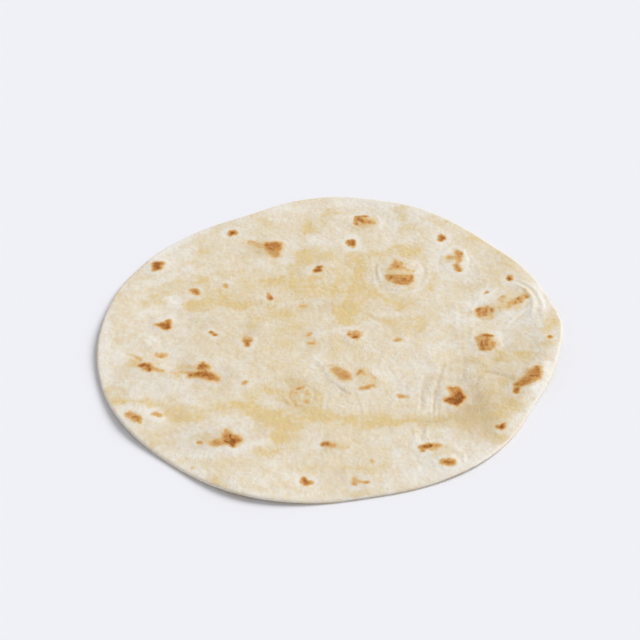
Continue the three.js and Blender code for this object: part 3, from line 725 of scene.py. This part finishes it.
def chain_height(x, y, height, half_width, *points):
    """Height * exp(-(distance to the curve / half width)^2), fading out towards both ends."""
    points = cut_corners(cut_corners(np.array(points, float)))
    fade = np.sin(np.linspace(0, np.pi, len(points))) ** 0.5
    result = np.zeros_like(x)
    for step in range(len(points) - 1):
        depth = stroke_depth(x, y, *points[step], *points[step + 1], 0)
        level = (fade[step] + fade[step + 1]) / 2 * np.exp(-((depth / half_width) ** 2))
        result = np.maximum(result, level)
    return height * result


def chain_relief(x, y, chains):
    """The heights of all creases or folds of a list, added up."""
    return sum(chain_height(x, y, *chain) for chain in chains)


print("folds:", len(FOLDS))

# %% The fan of wrinkles and the crinkled skin
# The fan's place and reach in x and y, the spacing and height of its waves, and how they lean
WRINKLE_MIDDLE = (41, -36)
WRINKLE_REACH = (15, 26)
WRINKLE_SPACING = 2.8
WRINKLE_HEIGHT = 0.09
WRINKLE_LEAN = 0.16
WRINKLES_FADE_OVER = 0.8

# What bends the waves and what breaks them up: how much, how many times longer its lumps are than wide,
# their size and seed; and the share of the height that is left on average
WRINKLE_BEND = (2.2, 2.5, 7, 61)
WRINKLE_BREAK = (0.7, 3, 5, 63)
UNBROKEN_SHARE = 0.5

# Crinkles: lump size of the noise, height, width of a line as a share of the noise, seed. A noise with
# larger lumps says which areas have them, and the area begins and is full at two of its levels.
CRINKLES = [(7, 0.14, 0.18, 81), (4.2, 0.10, 0.24, 83)]
AREAS_ARE_LARGER_BY = 2.4
AREA_LEVELS = (-0.1, 0.6)


def long_noise(x, y, amount, stretch, size, seed):
    """Noise whose lumps are longer in y than in x."""
    return amount * noise(x, y / stretch, size, seed)


def wrinkle_height(x, y):
    """A wave across the fan, bent by noise, whose height fades out over an oval."""
    away_x = (x - WRINKLE_MIDDLE[0]) / WRINKLE_REACH[0]
    away_y = (y - WRINKLE_MIDDLE[1]) / WRINKLE_REACH[1]
    envelope = smooth_step(1 - away_x**2 - away_y**2, 0, WRINKLES_FADE_OVER)
    across = x - WRINKLE_LEAN * (y - WRINKLE_MIDDLE[1]) + long_noise(x, y, *WRINKLE_BEND)
    broken = UNBROKEN_SHARE + long_noise(x, y, *WRINKLE_BREAK)
    return WRINKLE_HEIGHT * envelope * broken * np.sin(2 * np.pi * across / WRINKLE_SPACING)


def crinkle_height(x, y):
    """Hair-thin lines where a noise crosses zero: height * exp(-(noise / width)^2), in some areas only."""
    result = np.zeros_like(x)
    for size, height, width, seed in CRINKLES:
        line = np.exp(-((noise(x, y, size, seed) / width) ** 2))
        areas = noise(x, y, AREAS_ARE_LARGER_BY * size, seed + 1)
        result += height * line * smooth_step(areas, *AREA_LEVELS)
    return result


print("waves across the fan:", round(2 * WRINKLE_REACH[0] / WRINKLE_SPACING))

# %% [markdown]
# ## The skin's own relief
# Besides its named features, dough has lumps of every size: broad soft ones left by the press, and small
# dimples where gas broke through the skin. Each size is one layer of noise with a height that suits it. The
# toasted skin is drier and rougher, so the marks add a fine crust of their own.

# %% Relief of the top and of the underside
# Layers of noise: lump size, height, seed
TOP_LAYERS = [(24, 0.18, 11), (11, 0.14, 13), (5, 0.09, 15), (2.4, 0.06, 17)]
UNDER_LAYERS = [(17, 0.10, 21), (6, 0.06, 23)]
CRUST = (1.7, 0.06, 31)

# The toasting from which the crust grows and at which it is full, and how far the skin starts below the
# solid's
CRUST_LEVELS = (0.2, 0.8)
SKIN_BELOW_SOLID = 0.12


def top_relief(x, y, toast, creases):
    """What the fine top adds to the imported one: lumps, folds, creases, wrinkles and the crust of the
    marks."""
    relief = layered_noise(x, y, TOP_LAYERS) - SKIN_BELOW_SOLID
    relief += chain_relief(x, y, FOLDS) + creases
    relief += wrinkle_height(x, y) + crinkle_height(x, y)
    return relief + smooth_step(toast, *CRUST_LEVELS) * layered_noise(x, y, [CRUST])


def under_relief(x, y):
    """Shallow hollows, all upwards from the table."""
    return np.abs(layered_noise(x, y, UNDER_LAYERS))


print("layers of lumps, top and underside:", len(TOP_LAYERS), len(UNDER_LAYERS))

# %% [markdown]
# ## The mesh
# A round sheet could be a grid in polar coordinates, but its cells would crowd together in the middle.
# Instead a square grid is laid out on a disc: rings of the square become circles, and all cells stay nearly
# one size. The top is a fine grid, because all the detail is there. The underside has cells twice as large,
# and the rounded edge joins the two.

# %% Lay a square grid out on the tortilla
TOP_CELLS = 268
UNDER_CELLS = TOP_CELLS // 2
EDGE_ROUNDING = 0.9

# The share of the outline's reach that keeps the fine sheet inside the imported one
INSIDE_SOLID = 0.999


def square_to_disc(a, b):
    """The larger of the two coordinates becomes the radius, and their ratio, times 45 degrees, the
    angle."""
    widest = np.abs(a) > np.abs(b)
    radius = np.where(widest, a, b)
    ratio = np.divide(np.where(widest, b, a), radius, out=np.zeros_like(a), where=radius != 0)
    angle = np.where(widest, np.pi / 4 * ratio, np.pi / 2 - np.pi / 4 * ratio)
    return radius * np.cos(angle), radius * np.sin(angle)


def plan(cells):
    """The grid's points as flat arrays, in millimetres, out to where the rounded edge begins."""
    side = np.linspace(-1, 1, cells + 1)
    a, b = np.meshgrid(side, side)
    unit_x, unit_y = square_to_disc(a.ravel(), b.ravel())
    reach = (rim_radius(np.arctan2(unit_y, unit_x)) - EDGE_ROUNDING) * INSIDE_SOLID
    return unit_x * reach, unit_y * reach


top_x, top_y = plan(TOP_CELLS)
under_x, under_y = plan(UNDER_CELLS)
print("points, top and underside:", len(top_x), len(under_x))


# %% Number the grid's ring and its faces
def grid_numbers(cells):
    """The numbers of the grid's points, in rows."""
    return np.arange((cells + 1) ** 2).reshape(cells + 1, cells + 1)


def ring_numbers(cells):
    """The grid's outermost points, anticlockwise."""
    number = grid_numbers(cells)
    return np.concatenate([number[0, :-1], number[:-1, -1], number[-1, :0:-1], number[:0:-1, 0]])


def grid_faces(cells):
    """The four corners of every cell, anticlockwise."""
    number = grid_numbers(cells)
    corners = [number[:-1, :-1], number[:-1, 1:], number[1:, 1:], number[1:, :-1]]
    return np.stack([corner.ravel() for corner in corners], axis=1)


ring = ring_numbers(TOP_CELLS)
under_ring = ring_numbers(UNDER_CELLS)
print("points round the top and round the underside:", len(ring), len(under_ring))

# %% The fields of the top: toasted, golden, pale with painted highlights, and painted shade
# Shifts by noise: lump size, reach, seed
PATCH_SHIFTS = [(10, 2.0, 45), (3.2, 1.4, 47)]
CREASE_SHIFT = (5, 0.5, 65)
TOP_SEED = 41
SOFTNESS = {"gold": 2, "pale_and_highlight": 3, "painted_shade": 4}
HALO_STRENGTH = 0.6
GOLD_HIDES_PALE = 0.6
FULL_CREASE = 0.3
RIDGE_PAINTED_HIGHLIGHT = 0.5
GROOVE_PAINTED_SHADE = 0.3

# The marks' places are looked up as the camera sees them: further back by height / tan(the camera's angle)
top_z = underside(top_x, top_y) + dough_thickness(top_x, top_y) + blister_height(top_x, top_y)
seen_y = top_y + (top_z - DOUGH_THICKNESS) / np.tan(CAMERA_ABOVE_HORIZON)

toast, halo = toast_fields(top_x, seen_y, TOAST, TOP_SEED)
patchy = (top_x, seen_y)
for shift in PATCH_SHIFTS:
    patchy = shifted(*patchy, *shift)
gold = soft_field(*patchy, GOLD, SOFTNESS["gold"])
pale_and_highlight = soft_field(*patchy, PALE_AND_HIGHLIGHT, SOFTNESS["pale_and_highlight"])
painted_shade = soft_field(*patchy, PAINTED_SHADE, SOFTNESS["painted_shade"])
pale_and_highlight = together(pale_and_highlight, HALO_STRENGTH * halo) * (1 - GOLD_HIDES_PALE * gold)

creases = CREASES_STAND_OUT * chain_relief(*shifted(top_x, seen_y, *CREASE_SHIFT), CREASES)
# Ridges get a painted highlight and grooves a painted shade, in proportion to their height
pale_and_highlight = together(pale_and_highlight, RIDGE_PAINTED_HIGHLIGHT * np.clip(creases / FULL_CREASE, 0, 1))
painted_shade = together(painted_shade, GROOVE_PAINTED_SHADE * np.clip(-creases / FULL_CREASE, 0, 1))
print("mean of toast, gold, pale and dull:", [field.mean().round(3) for field in (toast, gold, pale_and_highlight, painted_shade)])

# %% The height of the top and of the underside
# The relief begins a little inside the rim
RELIEF_BEGINS = 0.8
RELIEF_IS_FULL_AT = 5

settle = smooth_step(from_rim(top_x, top_y), RELIEF_BEGINS, RELIEF_IS_FULL_AT)
top_z += settle * top_relief(top_x, seen_y, toast, creases) - (1 - settle) * SKIN_BELOW_SOLID
under_z = underside(under_x, under_y) + under_relief(under_x, under_y)
print("highest point in mm:", top_z.max().round(2))

# %% Strew marks over the unseen side
UNDER_MARKS = 40
STROKES_EACH = 3
MARKS_REACH = 90
MARKS_SEED = 71
STARTS_STRAY_BY = 1.1


def underside_strokes():
    """Marks of the unseen side, strewn at random over the disc: each is three strokes that start close
    together, scaled by the size of the mark and toasted up to its level."""
    rng = np.random.default_rng(MARKS_SEED)
    count = UNDER_MARKS * STROKES_EACH

    def one_value_a_mark(low, high):
        return np.repeat(rng.uniform(low, high, UNDER_MARKS), STROKES_EACH)

    radius = MARKS_REACH * np.sqrt(one_value_a_mark(0, 1))
    angle = one_value_a_mark(0, 2 * np.pi)
    size = one_value_a_mark(0.6, 2.0)
    toasted = one_value_a_mark(0.35, 1.05) * rng.uniform(0.6, 1, count)
    x = radius * np.cos(angle) + size * rng.normal(0, STARTS_STRAY_BY, count)
    y = radius * np.sin(angle) + size * rng.normal(0, STARTS_STRAY_BY, count)
    half = size * rng.uniform(0.6, 1.5, count)
    heading = rng.uniform(0, np.pi, count)
    length = size * rng.uniform(1, 4, count)
    end_x = x + length * np.cos(heading)
    end_y = y + length * np.sin(heading)
    return np.c_[x, y, end_x, end_y, half, half * rng.uniform(0.4, 1, count), toasted]


print("marks on the underside:", UNDER_MARKS)

# %% The fields of the underside
# Layers of noise for the gold (lump size, share, seed) and for the pale places (lump size, seed)
UNDER_GOLD_LAYERS = [(22, 0.6, 51), (7, 0.4, 53)]
UNDER_PALE_LUMPS = (18, 55)
UNDER_PALE_LEVELS = (0, 0.6)
UNDER_SEED = 43
UNDER_GOLD = 0.6
UNDER_PALENESS = 0.65

under_toast, under_halo = toast_fields(under_x, under_y, underside_strokes(), UNDER_SEED)
under_gold = UNDER_GOLD * smooth_step(layered_noise(under_x, under_y, UNDER_GOLD_LAYERS), *AREA_LEVELS)
under_pale = UNDER_PALENESS * smooth_step(noise(under_x, under_y, *UNDER_PALE_LUMPS), *UNDER_PALE_LEVELS)
under_pale = np.maximum(under_pale, HALO_STRENGTH * under_halo)
under_painted_shade = np.zeros_like(under_x)
print("mean of gold and pale:", under_gold.mean().round(3), under_pale.mean().round(3))

# %% The rounded edge, in rows from the top's ring down to the underside's
# A row stands out by rounding * cos(tilt), at half the height between the rings plus that half * sin(tilt).
# The edge is pale, as dough that never touched the griddle and as a painted highlight along the rim, and
# turns a little golden downwards as a painted warm shade.
EDGE_ROWS = 4
EDGE_GOLD_AS_SHADE = 0.4

points = [np.c_[top_x, top_y, top_z], np.c_[under_x, under_y, under_z]]
fields = [np.c_[toast, gold, pale_and_highlight, painted_shade], np.c_[under_toast, under_gold, under_pale, under_painted_shade]]
quads = [grid_faces(TOP_CELLS), grid_faces(UNDER_CELLS)[:, ::-1] + len(top_x)]
rim_x = top_x[ring]
rim_y = top_y[ring]
high = top_z[ring]
low = np.repeat(under_z[under_ring], 2)
low = (low + np.roll(low, -1)) / 2
bare = np.zeros_like(rim_x)
first = len(top_x) + len(under_x)
upper = ring
for step in range(1, EDGE_ROWS):
    tilt = np.pi / 2 - np.pi * step / EDGE_ROWS
    outward = 1 + EDGE_ROUNDING * np.cos(tilt) / np.hypot(rim_x, rim_y)
    level = (high + low) / 2 + (high - low) / 2 * np.sin(tilt)
    points.append(np.c_[rim_x * outward, rim_y * outward, level])
    share = step / EDGE_ROWS
    fields.append(np.c_[toast[ring], bare + EDGE_GOLD_AS_SHADE * share, bare + 1 - share, bare])
    row = first + np.arange(len(ring))
    quads.append(np.stack([upper, row, np.roll(row, -1), np.roll(upper, -1)], axis=1))
    first += len(ring)
    upper = row
print("quads:", sum(map(len, quads)))

# %% The last row meets the coarser ring of the underside in triangles
lower = under_ring + len(top_x)
left = upper[::2]
middle = upper[1::2]
right = np.roll(left, -1)
next_lower = np.roll(lower, -1)
triangles = np.concatenate([
    np.stack([left, lower, middle], axis=1),
    np.stack([middle, lower, next_lower], axis=1),
    np.stack([middle, next_lower, right], axis=1),
])
print("triangles at the foot of the edge:", len(triangles))

# %% Make the mesh and store the fields on it
FIELD_NAMES = ["toast", "gold", "pale_and_highlight", "painted_shade"]


def add_tortilla(points, faces, fields):
    """Centres the sheet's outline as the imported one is, and builds the object at the origin."""
    points[:, :2] -= (points[:, :2].min(axis=0) + points[:, :2].max(axis=0)) / 2
    mesh = bpy.data.meshes.new("flour_tortilla")
    mesh.from_pydata((points * MM).tolist(), [], faces)
    for name, values in zip(FIELD_NAMES, fields.T):
        mesh.attributes.new(name, "FLOAT", "POINT").data.foreach_set("value", values.astype(np.float32))
    mesh.shade_smooth()
    tortilla = bpy.data.objects.new("flour_tortilla", mesh)
    bpy.context.scene.collection.objects.link(tortilla)
    return tortilla


faces = np.concatenate(quads).tolist() + triangles.tolist()
tortilla = add_tortilla(np.concatenate(points), faces, np.concatenate(fields))
print("faces and points:", len(tortilla.data.polygons), len(tortilla.data.vertices))

# %% [markdown]
# ## Baked wheat dough
# The finish is one material. Wheat dough is a pale, matt, slightly translucent foam of starch and gluten,
# and baking turns its skin from cream to gold to orange brown. The stored fields say where each colour
# lies, and where highlight and shade are painted. Noise in the shader adds what is finer than the mesh: the
# mottling of the cream, the grain inside the marks and the tiny pits of the skin. Object coordinates keep
# the pattern fixed to the dough.

# %% Colours as a painter would name them
def srgb(code):
    """A hex colour such as #ffffff as linear red, green, blue and alpha 1."""
    parts = np.array([int(code[i : i + 2], 16) for i in (1, 3, 5)]) / 255
    linear = np.where(parts <= 0.04045, parts / 12.92, ((parts + 0.055) / 1.055) ** 2.4)
    return (*linear, 1)


# Floury white is the flour on the dough, and also the painted highlight on the right rim and the edge
FLOURY_AND_HIGHLIGHT_DOUGH = srgb("#f4f0e7")
PALE_DOUGH = srgb("#e9e2d5")
CREAM_DOUGH = srgb("#e1d2b5")
GOLDEN_DOUGH = srgb("#ddc48e")
# Painted shade: a darker tan for where the sheet lies in shade
PAINTED_SHADE_COLOUR = srgb("#c9b490")

# Toast darkens in steps: the level where each colour stands
TOAST_COLOURS = {
    0: "#e2cea5", 0.2: "#dfc494", 0.35: "#d9b67f", 0.5: "#d3a669", 0.65: "#ca9453",
    0.8: "#bc803d", 0.95: "#aa6a29", 1.1: "#955518", 1.25: "#81460c",
}
DARKEST_LEVEL = max(TOAST_COLOURS)
print("colours of toast:", len(TOAST_COLOURS))

# %% Start the material, and add nodes with one small function
material = bpy.data.materials.new("baked_wheat_dough")
material.use_nodes = True
tree = material.node_tree
tree.nodes.remove(tree.nodes["Principled BSDF"])

# A Mix node's sockets have a number for each kind of data: these are its share, its two colours and its
# result
SHARE, FIRST, SECOND, RESULT = 0, 6, 7, 2


def add(kind, inputs, output=0, **settings):
    """Adds one node with its settings, fills its inputs with values or with other nodes' outputs, and gives
    back one of its outputs."""
    node = tree.nodes.new("ShaderNode" + kind)
    for name, value in settings.items():
        setattr(node, name, value)
    for name, value in inputs.items():
        if isinstance(value, bpy.types.NodeSocket):
            tree.links.new(value, node.inputs[name])
        else:
            node.inputs[name].default_value = value
    return node.outputs[output]


def per_mm(size):
    """The Noise Texture scale whose lumps are about `size` millimetres wide."""
    return 1 / (size * MM)


place = add("TexCoord", {}, "Object")
field = {name: add("Attribute", {}, "Fac", attribute_name=name) for name in FIELD_NAMES}
print("fields that the material reads:", list(field))

# %% Lumps of several sizes
# Sizes in millimetres. Noise lies round a half, so it is spread to lie round zero, from roughly -1 to 1.
LUMP_SIZES = {"clouds": 20, "areas": 11, "patches": 9, "blotches": 4, "flecks": 1.8, "grain": 0.8}

lumps = {}
for name, size in LUMP_SIZES.items():
    texture = add("TexNoise", {"Vector": place, "Scale": per_mm(size)})
    lumps[name] = add("Math", {0: texture, 1: 4, 2: -2}, operation="MULTIPLY_ADD")
print("sizes of lumps:", len(lumps))

# %% Cream, golden and pale dough, with a floury white that also paints the highlights
# How unevenly the dough browned: the weight of each size of lump, stronger where the dough is golden
UNEVENNESS = {"clouds": 0.28, "patches": 0.30, "blotches": 0.32, "flecks": 0.32}
UNEVEN_ON_CREAM = 0.75
MORE_ON_GOLD = 0.6
BROWNING = {"gold": 1.05, "pale_and_highlight": -0.72}

uneven = 0
for name, weight in UNEVENNESS.items():
    uneven = add("Math", {0: lumps[name], 1: weight, 2: uneven}, operation="MULTIPLY_ADD")
stronger = {0: field["gold"], 1: MORE_ON_GOLD, 2: UNEVEN_ON_CREAM}
stronger = add("Math", stronger, operation="MULTIPLY_ADD")
browned = add("Math", {0: uneven, 1: stronger}, operation="MULTIPLY")
for name, weight in BROWNING.items():
    browned = add("Math", {0: field[name], 1: weight, 2: browned}, operation="MULTIPLY_ADD")

# Each coat lies over the last one: what it follows, where it begins, where it is full, its colour
COATS = [
    (browned, -0.73, 0.22, CREAM_DOUGH),
    (browned, 0, 0.96, GOLDEN_DOUGH),
    (field["pale_and_highlight"], 0.8, 1.15, FLOURY_AND_HIGHLIGHT_DOUGH),
]
dough = PALE_DOUGH
for level, begins, full, colour in COATS:
    span = {"Value": level, "From Min": begins, "From Max": full}
    share = add("MapRange", span, interpolation_type="SMOOTHSTEP")
    dough = add("Mix", {SHARE: share, FIRST: dough, SECOND: colour}, RESULT, data_type="RGBA")
print("coats over the pale dough:", len(COATS))

# %% Painted shade, and a slight play of hues
PAINTED_SHADE_SHOWS = 0.8
PAINTED_SHADE_VARIES_BY = 0.3
HUES = {"Vector": place, "Scale": per_mm(4), "Detail": 3, "Roughness": 0.85}
HUES_SHOW = 0.19

painted_shade_share = add("Math", {0: lumps["blotches"], 1: PAINTED_SHADE_VARIES_BY, 2: PAINTED_SHADE_SHOWS}, operation="MULTIPLY_ADD")
painted_shade_share = add("Math", {0: field["painted_shade"], 1: painted_shade_share}, operation="MULTIPLY")
dough = add("Mix", {SHARE: painted_shade_share, FIRST: dough, SECOND: PAINTED_SHADE_COLOUR}, RESULT, data_type="RGBA")
hues = add("TexNoise", HUES, "Color")
tinted = {SHARE: HUES_SHOW, FIRST: dough, SECOND: hues}
dough = add("Mix", tinted, RESULT, data_type="RGBA", blend_type="SOFT_LIGHT")
print("nodes so far:", len(tree.nodes))

# %% Toast over the dough, darker by its level
# Inside a mark the level varies with the fine lumps
TOAST_GRAIN = {"flecks": 0.19, "grain": 0.21}
TOAST_SHOWS = {"From Min": 0.03, "From Max": 0.38}

rough = 1
for name, weight in TOAST_GRAIN.items():
    rough = add("Math", {0: lumps[name], 1: weight, 2: rough}, operation="MULTIPLY_ADD")
level = add("Math", {0: field["toast"], 1: rough}, operation="MULTIPLY")
ramp = add("ValToRGB", {"Fac": add("Math", {0: level, 1: 1 / DARKEST_LEVEL}, operation="MULTIPLY")})
stops = ramp.node.color_ramp.elements
for toasting in list(TOAST_COLOURS)[1:-1]:
    stops.new(toasting / DARKEST_LEVEL)
for stop, code in zip(stops, TOAST_COLOURS.values()):
    stop.color = srgb(code)
share = add("MapRange", {"Value": level, **TOAST_SHOWS}, interpolation_type="SMOOTHSTEP")
dough = add("Mix", {SHARE: share, FIRST: dough, SECOND: ramp}, RESULT, data_type="RGBA")
print("stops on the ramp of toast:", len(stops))

# %% Pebbles and veins of the skin, as bump
# Pebbles are noise. Veins run along the borders between bent cells, in some areas only.
PEBBLE_SIZE = 1.9
CELL_SIZE = 3.4
CELLS_BEND = 3
VEIN_SHAPE = {"From Min": 0.16, "From Max": 0}
VEINED_AREAS = {"From Min": -0.3, "From Max": 0.7}
VEIN_HEIGHT = 0.18
BUMP_DEPTH = 0.37

pebbles = add("TexNoise", {"Vector": place, "Scale": per_mm(PEBBLE_SIZE), "Detail": 3})
bend = add("TexNoise", {"Vector": place, "Scale": per_mm(CELLS_BEND)}, "Color")
bent = add("VectorMath", {0: bend, 1: [CELLS_BEND * MM] * 3, 2: place}, operation="MULTIPLY_ADD")
border = add("TexVoronoi", {"Vector": bent, "Scale": per_mm(CELL_SIZE)}, feature="DISTANCE_TO_EDGE")
vein = add("MapRange", {"Value": border, **VEIN_SHAPE}, interpolation_type="SMOOTHSTEP")
veined = add("MapRange", {"Value": lumps["areas"], **VEINED_AREAS}, interpolation_type="SMOOTHSTEP")
veins = add("Math", {0: vein, 1: veined}, operation="MULTIPLY")
skin = add("Math", {0: veins, 1: VEIN_HEIGHT, 2: pebbles}, operation="MULTIPLY_ADD")
bump = add("Bump", {"Height": skin, "Strength": 1, "Distance": BUMP_DEPTH * MM})
print("nodes so far:", len(tree.nodes))

# %% The surface: matt, with a trace of light that goes in and comes out again
surface = add("BsdfPrincipled", {
    "Base Color": dough,
    "Normal": bump,
    "Roughness": 0.72,
    "IOR": 1.45,
    "Specular IOR Level": 0.35,
    "Subsurface Weight": 0.06,
    "Subsurface Radius": (1.0, 0.93, 0.85),
    "Subsurface Scale": 1.2 * MM,
})
tree.links.new(surface, tree.nodes["Material Output"].inputs["Surface"])

tortilla.data.materials.append(material)
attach(tortilla, "root")
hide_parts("tortilla")
print("nodes in the dough:", len(tree.nodes))

# %% [markdown]
# ## The table and the light
# The light is that of the photograph: one big soft source from the right and a little behind, and
# brightness all round. A sun lamp with a very wide disc gives that soft light evenly over the whole table.
# The world is as bright as the table near the horizon and dimmer overhead, as in a white tent, so the table
# has no visible end.

# %% A pale floor
FLOOR_HALF = 14
FLOOR_DROP = 0.05 * MM
WHITE_BOARD = srgb("#efeff3")


def add_floor():
    """One large square just below the dough's underside, in matt white board."""
    corners = [(-1, -1), (1, -1), (1, 1), (-1, 1)]
    points = [(x * FLOOR_HALF, y * FLOOR_HALF, -FLOOR_DROP) for x, y in corners]
    mesh = bpy.data.meshes.new("floor")
    mesh.from_pydata(points, [], [(0, 1, 2, 3)])
    board = bpy.data.materials.new("matt_white_board")
    board.use_nodes = True
    shader = board.node_tree.nodes["Principled BSDF"]
    for name, value in {"Base Color": WHITE_BOARD, "Roughness": 1, "Specular IOR Level": 0}.items():
        shader.inputs[name].default_value = value
    mesh.materials.append(board)
    floor = bpy.data.objects.new("floor", mesh)
    bpy.context.scene.collection.objects.link(floor)
    return floor


print("floor is", 2 * FLOOR_HALF, "m wide:", add_floor().name)

# %% The soft light
LIGHT_FROM = Vector((0.74, 0.24, 0.74))
LIGHT_WIDTH = np.radians(38)
LIGHT_STRENGTH = 2.33

data = bpy.data.lights.new("soft_light", "SUN")
data.angle = LIGHT_WIDTH
data.energy = LIGHT_STRENGTH
light = bpy.data.objects.new("soft_light", data)
light.rotation_euler = LIGHT_FROM.to_track_quat("Z", "Y").to_euler()
bpy.context.scene.collection.objects.link(light)
print("light comes from", [round(value, 2) for value in LIGHT_FROM])

# %% The white surroundings
# The strength falls from the horizon's to the one overhead between two heights of the line of sight
SKY_COLOUR = srgb("#fafbff")
SKY_FALLS = {"From Min": 0.05, "From Max": 0.6, "To Min": 0.88, "To Max": 0.47}

world = bpy.data.worlds.new("white_set")
world.use_nodes = True
sky = world.node_tree
direction = sky.nodes.new("ShaderNodeTexCoord").outputs["Generated"]
height = sky.nodes.new("ShaderNodeSeparateXYZ")
fall = sky.nodes.new("ShaderNodeMapRange")
for name, value in SKY_FALLS.items():
    fall.inputs[name].default_value = value
background = sky.nodes["Background"]
background.inputs["Color"].default_value = SKY_COLOUR
sky.links.new(direction, height.inputs["Vector"])
sky.links.new(height.outputs["Z"], fall.inputs["Value"])
sky.links.new(fall.outputs["Result"], background.inputs["Strength"])
bpy.context.scene.world = world
bpy.context.scene.view_settings.view_transform = "Standard"
print("nodes in the sky:", len(sky.nodes))
